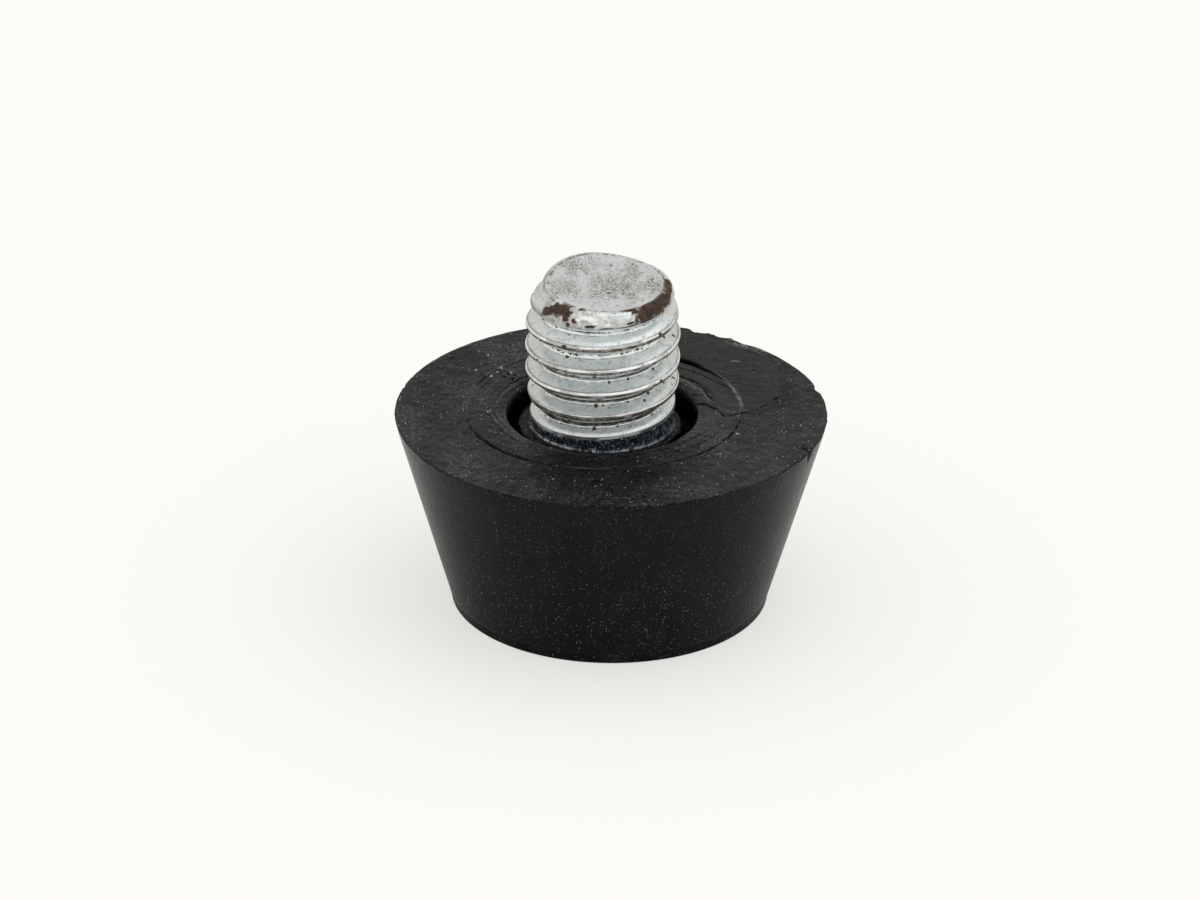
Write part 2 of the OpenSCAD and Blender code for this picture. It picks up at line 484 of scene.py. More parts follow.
def studFields(angle, height, radius):
    # what the zinc's colour reads: polish, painted highlights, dirt and painted shade on the crest and in the
    # root, specks, rust, the cut end
    degrees = np.degrees(angle) % 360
    above = aboveCrest(angle, height)
    below = (-above) % stud["pitch"]
    onThread = smoothStep(height, -0.6, -0.3) * (1 - smoothStep(height, 6.1, 6.5))
    x, y = radius * np.cos(angle), radius * np.sin(angle)
    specks = np.zeros(len(angle))
    for at, up, size in speckPlaces():
        away = np.radians(degreesFrom(at, degrees)) * radius
        specks = np.maximum(specks, 1.5 - np.hypot(away, (height - up) * 1.7) / size)
    uneven = lumps(x, y, height, 0.2, 36)
    # grime caught under the crest and in the root
    caught = bell(above + 0.06, 0.09) + bell(below - 0.66, 0.06)
    grime = onThread * caught * np.clip(3.4 * lumps(x, y, height, 0.1, 37) - 0.8, 0, 1)
    ragged = 0.3 * lumps(x, y, height, 0.25, 31) + 0.45 * lumps(x, y, height, 0.1, 32)
    rust = np.full(len(angle), -1.0)
    for band, half in rustBands:
        middle = band[0][0]
        away = np.radians(degreesFrom(middle, degrees)) * stud["chamferR"]
        line = [(math.radians(at - middle) * stud["chamferR"], up) for at, up in band]
        rust = np.maximum(rust, 1.45 - nearLine(away, height, line) / half)
    cutEnd = smoothStep(height, 7.04, 7.07)
    flatEnd = cutEnd * (1 - smoothStep(radius, 2.9, 3.1))
    front = smoothStep(-np.sin(angle), 0.3, 0.8)
    low = 1 - smoothStep(height, 1.2, 2.6)
    wide = 0.14 * low * smoothStep(-np.cos(angle), 0, 0.6)
    # painted highlights along the crest in short stretches, with dirt between them, and a painted highlight
    # low in the root at the front
    gleam = np.clip(0.35 + 2.4 * lumps(x, y, height, 0.5, 34), 0, 1)
    crestShine = bell(above - 0.09, 0.045) * (0.3 + 0.7 * front)
    rootShine = bell(below - 0.7, 0.035) * front
    leftRim = smoothStep(-np.cos(angle), 0.35, 0.75)
    glints = np.zeros(len(angle))
    for at, up, long, high in chamferGlints:
        away = np.radians(degreesFrom(at, degrees)) * radius / long
        apart = np.hypot(away, (height - up) / high)
        glints = np.maximum(glints, np.clip(1.8 - 1.4 * apart + 0.8 * uneven, 0, 1))
    stain = np.zeros(len(angle))
    for atX, atY, sizeX, sizeY, strength in tipStains:
        stain = np.maximum(stain, strength * bell(np.hypot((x - atX) / sizeX, (y - atY) / sizeY), 1))
    return {
        "polish": np.maximum(bell(above - 0.085, 0.05), smoothStep(np.abs(above), 0.45, 0.5)) * onThread,
        "glint": np.maximum(glints, onThread * gleam * np.maximum(crestShine, rootShine)),
        # the crest's band: brown dirt and painted shade under the crest, wider on the low turns at the left
        "crest": onThread * np.maximum.reduce([
            smoothStep(above + wide, -0.21, -0.16) * (1 - smoothStep(above, 0.0, 0.04)),
            0.9 * bell(above - 0.157, 0.022), 0.5 * (1 - gleam) * bell(above - 0.085, 0.05) * front]),
        # dark lines in the root: dirt and painted shade, wider on the low turns
        "root": onThread * np.maximum(bell(below - 0.6, 0.03 + 0.05 * low), 0.8 * bell(below - 0.79, 0.018)),
        "speck": np.clip(np.maximum(specks, grime) + 0.3 * lumps(x, y, height, 0.06, 33), 0, 1),
        "rust": np.clip(rust + ragged, 0, 1) * smoothStep(radius, 2.85, 3.05),
        "tipFace": flatEnd,
        # dirt lines along the cut end's rim, and on the left a line of painted shade where it meets the
        # chamfer
        "tipRim": cutEnd * np.maximum.reduce([
            bell(radius - 2.93, 0.05), 0.6 * bell(radius - 3.06, 0.03), leftRim * bell(radius - 3.2, 0.04)]),
        "stain": cutEnd * stain,
        "chamfer": smoothStep(height, 6.1, 6.4) * (1 - flatEnd),
    }


def zincMaterial():
    # Zinc plate on rolled steel, dulled by age: bluish grey metal, satin on the flanks, burnished at the
    # crest and in the root, with painted highlights on crest, root and chamfer, brown dirt and painted shade
    # on the crest and in the root, scribbled stains on the cut end, rust where it is gone
    material, add = newMaterial("dull_zinc_plate_on_rolled_steel")
    tint = coloursOf(zinc)
    inMm, painted = readPiece(add, ("polish", "glint", "crest", "root", "speck", "rust", "tipFace", "tipRim",
                                    "stain", "chamfer"))
    # mottling of the plate, clouds of about 0.8 mm and grain of about 0.12 mm
    cloud = add("TexNoise", {"Vector": inMm, "Scale": 1.3, "Detail": 4, "Roughness": 0.6})
    grain = add("TexNoise", {"Vector": inMm, "Scale": 8, "Detail": 3})
    colour = add("MixRGB", add("MapRange", cloud, 0.38, 0.62), tint["cool"], tint["pale"])
    stain = add("MapRange", grain, 0.3, 0.7, 0, 0.16)
    # brown scribbles of old dirt on the cut end: thin contours of a noise, 0.15 mm apart, thick in the stains
    flat = add("VectorMath", "MULTIPLY", inMm, (1, 0.55, 1))
    loops = add("TexNoise", {"Vector": flat, "Scale": 2.4, "Detail": 3, "Distortion": 1.2})
    contour = add("MapRange", add("Math", "PINGPONG", loops, 0.055), 0.008, 0.024, 1, 0)
    patchy = add("TexNoise", {"Vector": flat, "Scale": 1.4, "Detail": 4, "Roughness": 0.65})
    dirty = add("Math", "ADD", painted["stain"], add("MapRange", patchy, 0.38, 0.66, -0.3, 0.25))
    scribble = add("Math", "MULTIPLY", contour, add("MapRange", dirty, 0.0, 0.55, 0.05, 1.0))
    fine = add("MapRange", grain, 0.35, 0.6, 0.35, 1)
    haze = add("Math", "MULTIPLY", add("MapRange", dirty, 0.2, 1.0, 0, 0.26), fine)
    scribble = add("Math", "MULTIPLY", add("Math", "MAXIMUM", scribble, haze), painted["tipFace"])
    smear = add("Math", "MULTIPLY", painted["chamfer"], add("MapRange", patchy, 0.4, 0.62, 0.15, 0.7))
    # the plate is darker and warmer towards the left and right of the thread, as seen from the front
    sideways = add("Math", "ABSOLUTE", add("Math", "SUBTRACT", add("SeparateXYZ", inMm), studX))
    outer = add("MapRange", sideways, 2.2, 3.8, 0, 0.5)
    sideTone = add("Math", "MULTIPLY", outer, add("MapRange", cloud, 0.35, 0.6, 0.6, 1))
    # dark pits, in some of the cells of 0.7 mm
    cells = add("TexVoronoi", {"Vector": inMm, "Scale": 1.5})
    chance = add("SeparateColor", cells.outputs["Color"])
    pits = add("MapRange", cells, 0.09, 0.14, 0.9, 0)
    pits = add("Math", "MULTIPLY", pits, add("MapRange", chance, 0.35, 0.55))
    # dirt and painted shade: the lines painted in the root and along the cut end's rim, broken up by noise
    lines = add("Math", "MAXIMUM", painted["root"], painted["tipRim"])
    lines = add("Math", "MULTIPLY", lines, add("MapRange", loops, 0.42, 0.55))
    lines = add("Math", "MAXIMUM", lines, scribble)
    # the crest's band of brown dirt and painted shade, mottled
    crest = add("Math", "MULTIPLY", painted["crest"], add("MapRange", cloud, 0.36, 0.52, 0.45, 1))
    spots = add("Math", "MAXIMUM", add("MapRange", painted["speck"], 0.35, 0.6), pits)
    spotColour = add("MixRGB", add("MapRange", chance, 0.7, 1.0, 0, 0.8), tint["speck"], tint["orange"])
    # rust: a brown haze round solid dark brown, mottled 0.3 mm coarse
    mottle = add("TexNoise", {"Vector": inMm, "Scale": 3.6, "Detail": 5, "Roughness": 0.75})
    rustColour = add("ValToRGB", mottle, ramp=[(0.4, tint["rustDark"]), (0.6, tint["rustLight"])])
    rusty = add("Math", "ADD", painted["rust"], add("MapRange", mottle, 0.3, 0.7, -0.35, 0.3))
    rustHaze, solid = add("MapRange", rusty, 0.0, 0.45, 0, 0.7), add("MapRange", rusty, 0.15, 0.65)
    # from the plate up, one layer over the other
    layers = [(stain, tint["stain"]), (painted["tipFace"], tint["cutEnd"]), (sideTone, tint["sideTone"]),
              (smear, tint["smear"]), (lines, tint["dirtAndShade"]), (crest, tint["crestDirtAndShade"]),
              (painted["glint"], tint["glint"]), (spots, spotColour), (rustHaze, tint["rustLight"]),
              (solid, rustColour)]
    for share, layer in layers:
        colour = add("MixRGB", share, colour, layer)
    # dirt and rust are matt and hide the metal, and a painted highlight is white and mostly matt, so it stays
    # bright from all sides
    dull = add("Math", "MAXIMUM", spots, solid)
    bright = add("Math", "MAXIMUM", painted["polish"], add("Math", "MULTIPLY", painted["chamfer"], 0.5))
    shiny = add("Math", "MAXIMUM", bright, painted["tipFace"])
    metal = add("MapRange", shiny, 0, 1, zinc["metallic"], 0.9)
    metal = add("Math", "MULTIPLY", metal, add("MapRange", dull, 0, 1, 1, 0))
    metal = add("Math", "MULTIPLY", metal, add("MapRange", painted["glint"], 0, 1, 1, 0.3))
    gloss = add("MapRange", cloud, 0.35, 0.65, zinc["roughLow"], zinc["roughHigh"])
    gloss = add("MixRGB", bright, gloss, (zinc["polished"],) * 3 + (1,))
    rough = add("Math", "MAXIMUM", gloss, add("Math", "MULTIPLY", dull, 0.8))
    # shallow dents on the chamfer, 0.16 mm high, and the plate's grain everywhere else
    waves = add("TexNoise", {"Vector": inMm, "Scale": 1.5, "Detail": 2})
    dents = add("Bump", {"Height": waves, "Strength": painted["chamfer"], "Distance": 0.16 * mm})
    grainy = add("MapRange", painted["chamfer"], 0, 1, 0.3, 0.05)
    relief = add("Bump", {"Height": grain, "Strength": grainy, "Distance": 0.02 * mm, "Normal": dents})
    shader = add("BsdfPrincipled", {"Base Color": colour, "Metallic": metal, "Roughness": rough,
                                    "Normal": relief})
    add("OutputMaterial", shader)
    return material


zinc = {
    "cool": "#e2eef1",
    "pale": "#f4fafa",
    "stain": "#a9ada8",
    "sideTone": "#aba698",
    "cutEnd": "#d3d8da",
    "smear": "#8b847d",
    "dirtAndShade": "#584527",
    "crestDirtAndShade": "#5c4f42",
    # painted highlights on crest, root and chamfer
    "glint": "#ffffff",
    "speck": "#33241a",
    "orange": "#7c4c28",
    "rustDark": "#20140b",
    "rustLight": "#4d3420",
    "metallic": 0.55,  # satin plate scatters light in its grain
    "roughLow": 0.26,
    "roughHigh": 0.38,
    "polished": 0.12,
}

steel = buildStud()
steel.data.materials.append(zincMaterial())
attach(steel, "root")
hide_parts("stud_bolt")

# Rubber cone: sole, parting step, straight side, ragged sharp rim, wide face with the ring of the mould's
# core, recess, and the skin that climbs the shank. Distances in mm, angles in degrees from +X.
cone = {
    "columns": 600,
    "baseR": 8.1,
    "stepZ": 0.55,
    "stepIn": 0.08,
    "soleEdge": 0.15,
    "sideRows": (0.58, 0.7, 3.5, 7.0, 9.3, 9.7, 9.95, 10.12, 10.22),
    "ringX": -0.45,
    "ringY": 0.45,
    "outsideRing": 7.5,  # circles of the mesh on either side of the ring
    "insideRing": 6.75,
    "faceRows": (37, 19, 37),  # rows outside, between and inside these circles
    "ringR": (
        (0, 7.15), (35, 7.2), (58, 7.45), (90, 7.25), (160, 7.0), (235, 7.25), (305, 7.15), (320, 7.25),
        (345, 7.18), (360, 7.15),
    ),
    # depth of its groove and height of its lip round the ring, which also set how dark its painted shade and
    # how light its painted highlight are
    "ringDeep": (
        (0, 0), (44, 0), (47, 0.9), (62, 1.1), (90, 0.6), (135, 0.6), (148, 0.5), (151, 1.3), (156, 0.7),
        (160, 0.15), (185, 0.1), (192, 0.4), (198, 1), (238, 1), (246, 0.5), (256, 0.3), (272, 0.2),
        (282, 0.5), (298, 0.8), (345, 1), (355, 0.4), (360, 0),
    ),
    "ringLip": (
        (0, 0.6), (8, 1), (22, 0.8), (42, 0.4), (46, 0.3), (60, 0.4), (120, 0.6), (146, 0.7), (150, 0.2),
        (156, 0.7), (180, 0.6), (184, 0.1), (250, 0), (258, 0.6), (271, 0.6), (275, 0.1), (300, 0.3),
        (340, 0.3), (352, 0.3), (360, 0.5),
    ),
    "mouthR": 4.85,
    "floorR": 4.62,
    "recessDepth": 1.4,
    "ledgeR": 4.18,  # the ledge that the skin stands on is wider on the left
    "ledgeWider": 0.12,
    "ledgeDown": 0.62,
    # how wide the torn flap stands open, by angle
    "openFlap": ((20, 0.0), (33, 0.03), (39, 0.12), (48, 0.28), (58, 0.42), (70, 0.4), (85, 0.1), (95, 0.0)),
    "skinR": 3.66,
    "skinTopR": 3.7,  # at its upper edge
    # how bright the painted highlight at its foot is, and how scratched it is, by angle
    "footShine": (
        (0, 0.2), (170, 0.2), (190, 0.5), (205, 0.4), (215, 0.9), (250, 1), (256, 0.35), (263, 0.9),
        (268, 0.3), (283, 0.5), (288, 1), (300, 0.8), (318, 0.5), (345, 0.25), (360, 0.2),
    ),
    "scratches": ((0, 0.8), (170, 0.35), (200, 0.6), (250, 0.6), (285, 0.5), (300, 0.7), (360, 0.8)),
    "shavedEdge": ((6.4, 8.75), (7.3, 8.05), (7.9, 7.6)),
    "bondGap": 0.01,  # between the rubber and the steel it is bonded to
}
# Marks on the wide face, about the ring's centre: (angle, radius) along the mark, its depth or, if negative,
# its height, and half its width
faceMarks = [
    # second and third crease of the torn flap, with the ridges that the tear pushed up
    (((18, 7.14), (26, 6.84), (30, 6.66), (40, 6.57), (51, 6.4), (66, 6.25)), 0.06, 0.04),
    (((18, 7.05), (26, 6.75), (30, 6.57), (40, 6.48), (51, 6.3), (66, 6.15)), -0.02, 0.04),
    (((8, 5.8), (16, 5.68), (24, 5.72), (31, 5.8), (43, 5.6), (66, 5.4)), 0.06, 0.05),
    (((4, 5.62), (20, 5.48), (31, 5.4), (43, 5.3), (66, 5.15)), -0.03, 0.05),
    (((10, 5.98), (20, 5.86), (40, 5.72), (60, 5.6)), 0.025, 0.04),
    (((14, 5.3), (30, 5.2), (50, 5.1)), -0.02, 0.04),
    # turning swirls on the left, deepest at the back
    (((128, 6.65), (150, 6.6), (176, 6.62), (190, 6.7)), 0.03, 0.035),
    (((130, 6.3), (150, 6.22), (180, 6.3)), -0.012, 0.03),
    (((120, 5.75), (150, 5.72), (170, 5.78), (200, 5.85), (225, 5.9)), 0.03, 0.03),
    (((140, 5.02), (160, 5.05), (185, 5.1)), 0.03, 0.035),
    (((112, 5.4), (136, 5.44), (150, 5.5)), 0.07, 0.07),
    (((148, 5.5), (166, 5.5), (180, 5.56)), 0.04, 0.04),
    (((146, 5.2), (158, 5.28), (167, 5.38), (180, 5.41)), -0.015, 0.05),
    (((128, 5.9), (150, 5.85), (178, 5.9)), 0.02, 0.05),
    (((184, 5.75), (205, 5.6), (230, 5.6)), -0.025, 0.05),
    (((184, 5.45), (205, 5.35), (240, 5.4)), -0.02, 0.045),
    (((188, 5.6), (205, 5.48), (232, 5.5)), 0.02, 0.04),
    (((236, 5.75), (262, 5.8), (290, 5.75)), 0.015, 0.06),
    (((296, 5.7), (318, 5.8), (338, 6.0)), 0.03, 0.045),
    (((300, 6.3), (320, 6.5), (340, 6.6)), 0.02, 0.05),
]
# Bent lines on the wide face in x and y: the tear's end and the edge of the blade's cut, then two folds
faceLines = [
    (((4.1, 1.2), (4.8, 1.0), (5.4, 0.4), (5.8, -0.4), (6.2, -0.3), (6.7, 0)), 0.07, 0.05),
    (((6.7, 0), (6.9, 0), (7.5, 0.5), (8.2, 1.2), (8.5, 1.8)), 0.07, 0.045),
    (((5.9, 3.8), (6.7, 3.4), (7.7, 3.0)), 0.015, 0.05),
    (((5.6, 4.7), (6.7, 4.1), (8.0, 3.6)), 0.015, 0.05),
    (((6.3, 6.2), (6.45, 6.3), (6.6, 6.2)), -0.05, 0.07),
    (((7.4, 5.2), (7.5, 5.2)), 0.04, 0.06),
    (((7.4, 6.4), (7.65, 6.4)), 0.03, 0.05),
    (((10.0, -4.4), (9.8, -4.2)), 0.05, 0.06),
]
# Bright specks and dark pits on the wide face: x, y and size in mm
faceSpecks = [
    (-7.0, 4.9, 0.05), (-6.4, 6.8, 0.04), (-5.7, 5.2, 0.06), (-5.9, 4.7, 0.04), (-6.2, 4.2, 0.05),
    (-5.2, 4.6, 0.05), (-6.3, -0.1, 0.045), (-6.2, 0.1, 0.03), (6.4, -2.5, 0.04), (6.5, -2.5, 0.04),
]
facePits = [
    (-5.3, 4.5, 0.12), (-5.5, 4.1, 0.09), (-5.1, 3.9, 0.1), (-5.75, 4.95, 0.08), (-5.0, 4.35, 0.07),
    (-6.5, 5.6, 0.06), (7.4, 5.2, 0.07),
]
# Edge of the blade's cut: y, x
cutEdge = [
    (-0.3, 6.6), (0, 6.9), (0.5, 7.5), (1.2, 8.2), (1.9, 8.5), (3.4, 8.75), (5, 8.75), (6.2, 8.6),
    (7, 9.5),
]
# Nicks and nibs of the rim: angle, half width in degrees, depth inwards
rimNicks = [
    (65, 2.4, 0.24), (59, 3.0, 0.2), (51, 3.5, 0.16), (15.5, 2.0, 0.16), (336, 0.9, 0.17),
    (165, 0.8, 0.07), (69, 0.5, -0.08), (62.2, 0.4, -0.1), (60.6, 0.4, -0.08), (55.6, 0.6, -0.15),
    (44.8, 0.6, -0.1), (356, 0.4, -0.06), (182, 0.4, -0.04), (117, 0.4, -0.05), (66.5, 0.7, 0.12),
]


def fromRing(x, y):
    # polar place about the ring of the mould's core: radius and angle in degrees
    dx, dy = x - cone["ringX"], y - cone["ringY"]
    return np.hypot(dx, dy), np.degrees(np.arctan2(dy, dx)) % 360


def wideFace(x, y):
    # relief of the wide face, how far the blade's cut has smoothed it, its lines of painted shade and its
    # lines of painted highlight
    rho, a = fromRing(x, y)
    wander = 0.03 * lumps(x, y, 0, 0.3, 5)
    off = rho - along(a, cone["ringR"]) - wander
    uneven = 0.85 + 0.4 * lumps(x, y, 0, 0.35, 6)
    deep = along(a, cone["ringDeep"]) * uneven
    lip = along(a, cone["ringLip"]) * uneven
    groove = bell(off, 0.05 + 0.035 * smoothStep(deep, 0.5, 1))
    # the lip stands outside the groove at the back, inside it in front
    backHalf = bell(degreesFrom(100, a), 95)
    ridge = backHalf * bell(off - 0.075, 0.035) + (1 - backHalf) * bell(off + 0.085, 0.045)
    # the groove is painted dark as shade; its lip, and a thin line at the right back, are painted light as
    # highlights
    relief = -0.08 * deep * groove + 0.045 * lip * ridge
    dark = 0.9 * deep * groove
    shine = smoothStep(a, 0, 4) * (1 - smoothStep(a, 18, 34))
    light = 0.22 * lip * ridge + 0.6 * shine * uneven * bell(off, 0.024)
    # the flap's free edge: the wide face inside it lies lower, and drops back towards the recess
    flap = smoothStep(a, 2, 10) * (1 - smoothStep(a, 70, 100))
    relief = relief - 0.05 * flap * (1 - smoothStep(off, -0.03, 0.03)) * smoothStep(rho, 5.9, 6.9)
    openTo = along(a, cone["openFlap"])
    torn = smoothStep(-off, -0.03, 0.02) * (1 - smoothStep(-off - openTo, -0.03, 0.05))
    torn = torn * smoothStep(openTo, 0.01, 0.05)
    # where the flap stands open, the gap is lowered and painted dark as its shadow
    relief = relief - 0.1 * torn
    dark = dark + torn
    # creases, ridges and folds: where each is, its depth, and the height at which its painted highlight is
    # full; a crease is also painted dark by its depth, as shade
    strokes = []
    for mark, depth, half in faceMarks:
        (first, _), (last, _) = mark[0], mark[-1]
        ends = smoothStep(a, first - 2, first + 6) * (1 - smoothStep(a, last - 6, last + 2))
        strokes.append((ends * bell(rho - along(a, mark) - wander, half), depth, 0.2))
    for path, depth, half in faceLines:
        strokes.append((bell(nearLine(x, y, path) + wander, half), depth, 0.15))
    for stroke, depth, lightHeight in strokes:
        relief = relief - depth * uneven * stroke
        dark = dark + max(depth, 0) / 0.06 * uneven * stroke
        light = light + max(-depth, 0) / lightHeight * uneven * stroke
    for atX, atY, size in faceSpecks:
        light = np.maximum(light, np.clip(1.6 - np.hypot(x - atX, (y - atY) * 0.7) / size, 0, 1))
    # each pit is lowered and painted dark, as the shade in it
    for atX, atY, size in facePits:
        pit = np.clip(1.5 - np.hypot(x - atX, (y - atY) * 0.8) / size, 0, 1)
        relief = relief - 0.05 * pit
        dark = np.maximum(dark, pit)
    # the mouth of the recess is worn round, and the face funnels down to it
    fromMouth = np.hypot(x - studX, y - studY) - cone["mouthR"]
    relief = relief - 0.07 * (1 - smoothStep(fromMouth, 0, 0.6)) - 0.05 * (1 - smoothStep(fromMouth, 0, 0.2))
    # the blade's cut lies a little lower, with a dark edge
    beyond = x - along(y, cutEdge)
    cut = (1 - smoothStep(beyond, -0.05, 0.05)) * smoothStep(y - 0.45 * (7.5 - x), -0.3, 0.3)
    cut = cut * smoothStep(x, -3.5, -2.5) * smoothStep(rho, 5.7, 6.0)
    relief = relief - 0.02 * cut * smoothStep(rho, 7.15, 7.3)
    edge = smoothStep(beyond, -0.03, 0.03) * (1 - smoothStep(beyond, 0.3, 1.4))
    dark = dark + 0.42 * edge * smoothStep(y, -1, 0.5)
    rough = 0.012 * lumps(x, y, 0, 0.6, 7) + 0.01 * lumps(x, y, 0, 0.25, 8) + 0.006 * lumps(x, y, 0, 0.13, 9)
    return relief + rough * (1 - 0.75 * cut), cut, np.clip(dark, 0, 1), np.clip(light, 0, 1)


def skinTop(angle):
    # the skin ends under the last crest, so its edge climbs with the thread and drops again at the back
    r = cone["skinTopR"]
    turn = (angle / (2 * math.pi) - 0.5) % 1
    start = stud["crestAtAngleZero"] - stud["pitch"] / 2 + 0.01
    climbing = start + stud["pitch"] * turn
    back = smoothStep(turn, 0.72, 0.97)
    ragged = 0.03 * lumps(r * np.cos(angle), r * np.sin(angle), 0, 0.16, 11)
    return climbing * (1 - back) + start * back + ragged + leanAt(angle, 0, r)


def buildCone():
    columns, mouthR, skinR = cone["columns"], cone["mouthR"], cone["skinR"]
    stepZ, soleEdge, gap = cone["stepZ"], cone["soleEdge"], cone["bondGap"]
    angle = 2 * math.pi * np.arange(columns) / columns
    cosine, sine = np.cos(angle), np.sin(angle)
    slope = (rimR - cone["baseR"]) / faceZ
    stepR = cone["baseR"] + slope * stepZ
    soleR = stepR - cone["stepIn"]
    nicks = sum(depth * bell(degreesFrom(at, np.degrees(angle)), half) for at, half, depth in rimNicks)
    nicks = nicks + 0.015 * (1 + lumps(rimR * cosine, rimR * sine, 0, 0.35, 3))
    rim = np.minimum(rimR - nicks, rimR - 0.01)
    middle, ringMiddle, studMiddle = (0, 0), (cone["ringX"], cone["ringY"]), (studX, studY)
    rings = []  # each is (x, y, z, side, recess, skin)

    def circle(centre, r):
        return np.stack([centre[0] + r * cosine, centre[1] + r * sine])

    def addRing(place, z, side=0.0, recess=0.0, skin=0.0):
        values = (*place, z, side, recess, skin)
        rings.append([np.broadcast_to(np.asarray(v, float), (columns,)) for v in values])

    def addRound(r, z, recess=0.0, skin=0.0):
        # a ring about the stud, at a height above the wide face
        addRing(circle(studMiddle, r), faceZ + z, 0, recess, skin)

    for r in (0.6, 4.5, soleR - soleEdge):
        addRing(circle(middle, r), 0)
    for a in np.radians((30, 60, 90)):
        addRing(circle(middle, soleR - soleEdge * (1 - math.sin(a))), soleEdge * (1 - math.cos(a)), 0.5)
    for r, z, side in ((soleR, -0.03, 0.6), (soleR + 0.01, 0, 0.8), (stepR - 0.01, 0.01, 1)):
        addRing(circle(middle, r), stepZ + z, side)
    for z in cone["sideRows"]:
        torn = smoothStep(z, faceZ - 0.7, faceZ - 0.05)
        addRing(circle(middle, cone["baseR"] + slope * z - nicks * torn), z, 1)
    # sharp rim
    for inward, down in ((0.01, 0.035), (0.03, 0.01), (0.07, 0)):
        addRing(circle(middle, rim - inward), faceZ - down, 0.3)
    # the wide face: circles that move from the cone's axis to the ring's centre, then to the stud's
    edges = [circle(middle, rim - 0.07), circle(ringMiddle, cone["outsideRing"]),
             circle(ringMiddle, cone["insideRing"]), circle(studMiddle, mouthR + 0.12)]
    for outer, inner, rows in zip(edges, edges[1:], cone["faceRows"]):
        for t in np.linspace(0, 1, rows + 1)[1:]:
            x, y = outer * (1 - t) + inner * t
            relief = wideFace(x, y)[0] * smoothStep(rim - np.hypot(x, y), 0.0, 0.15)
            addRing((x, y), faceZ + relief)
    # recess: rounded mouth, rough wall, floor, up to the ledge, then the foot of the skin on the shank
    # each ring's recess value is how dark it is painted, as shade in the recess
    for out, down in ((0.06, 0.14), (0.02, 0.19), (0.0, 0.26)):
        rough = 0.012 * lumps(5 * cosine, 5 * sine, down, 0.4, 21)
        addRound(mouthR + out + rough, -down, 0.5)
    for t in np.linspace(0.25, 1, 6):
        down = cone["recessDepth"] * t
        rough = 0.02 * lumps(5 * cosine, 5 * sine, down, 0.5, 22)
        addRound(mouthR + (cone["floorR"] - mouthR) * t + rough, -down, 1)
    ledge = cone["ledgeR"] - cone["ledgeWider"] * cosine + 0.035 * lumps(4 * cosine, 4 * sine, 0, 0.22, 23)
    low = cone["ledgeDown"] + 0.02 * lumps(4 * cosine, 4 * sine, 0, 0.5, 25)
    addRound(ledge + 0.04, -cone["recessDepth"], 1, 0.15)
    for out, down, black in ((0.01, 0.6, 1), (0, 0.06, 0.8), (-0.04, 0.01, 0.5), (-0.14, 0, 0.5)):
        addRound(ledge + out, -low - down, black, 0.15)
    for t in (0.35, 0.65, 0.9):
        r = (ledge - 0.14) * (1 - t) + (skinR + 0.06) * t
        addRound(r, -low - 0.015 * lumps(r * cosine, r * sine, 0, 0.2, 26), 0.5, 0.25)
    for out, up in ((0.05, 0.005), (0.03, 0.02), (0.01, 0.045)):
        addRound(skinR + out, up - cone["ledgeDown"], 0.1, 0.6)
    top = skinTop(angle)
    lean = leanAt(angle, 0, cone["skinTopR"])
    for t in (0.0, 0.15, 0.4, 0.65, 0.85, 0.97):
        z = (0.08 - cone["ledgeDown"]) * (1 - t) + top * t
        r = skinR + 0.05 * t ** 3 + 0.012 * lumps(4 * cosine, 4 * sine, z, 0.2, 24)
        addRound(np.maximum(r, studRadius(angle, z - lean) + gap + 0.02), z, skin=1)
    # over the edge of the skin and down inside it, against the steel
    for down in (0.0, 0.05, 0.1, 0.16, 0.24, 0.34, 0.5):
        addRound(studRadius(angle, top - down - lean) + gap, top - down, skin=1)
    # the pocket that the shank and its head fill
    r = stud["rounding"]
    shank, corner = stud["shankR"] + gap, headR + gap - r
    headTop, headLow = stud["headTop"] + gap, studLow.z - faceZ - gap
    quarter = [(r * math.sin(a), r * math.cos(a)) for a in np.radians((0, 45, 90))]
    inside = [(shank, stud["shankRow"])]
    inside += [(shank + r - out, headTop + r - down) for down, out in quarter]
    inside += [(corner + out, headTop - r + up) for out, up in quarter]
    inside += [(corner + out, headLow + r - down) for down, out in quarter]
    inside += [(stud["headInnerR"], headLow)]
    for r, z in inside:
        addRound(r, z, 1)

    stack = np.array(rings)  # ring, value, column
    points = np.concatenate([stack[:, :3].transpose(0, 2, 1).reshape(-1, 3),
                             [[0, 0, 0], [studX, studY, faceZ + headLow]]])
    number = np.arange(len(rings) * columns).reshape(len(rings), columns)
    faces = []
    for ringA, ringB in zip(number, number[1:]):
        faces += bridge(ringA, ringB)
    faces += fan(number.size, number[0]) + fan(number.size + 1, number[-1][::-1])
    side, recess, skin = (np.append(stack[:, i].ravel(), [0, 0]) for i in (3, 4, 5))
    x, y, z = points.T
    _, cut, dark, light = wideFace(x, y)
    rho = fromRing(x, y)[0]
    stand = np.hypot(x - studX, y - studY)
    around = np.degrees(np.arctan2(y - studY, x - studX)) % 360
    # a painted highlight along the edge at the foot of the skin, strongest at the left and right of the front
    foot = bell(z - faceZ + cone["ledgeDown"] - 0.04, 0.05) * bell(stand - cone["skinR"] - 0.02, 0.05)
    foot = foot * along(around, cone["footShine"]) * np.clip(0.9 + 1.3 * lumps(x, y, 0, 0.14, 28), 0, 1.3)
    onTop = smoothStep(z, faceZ - 0.4, faceZ - 0.3) * (1 - recess) * (1 - side)
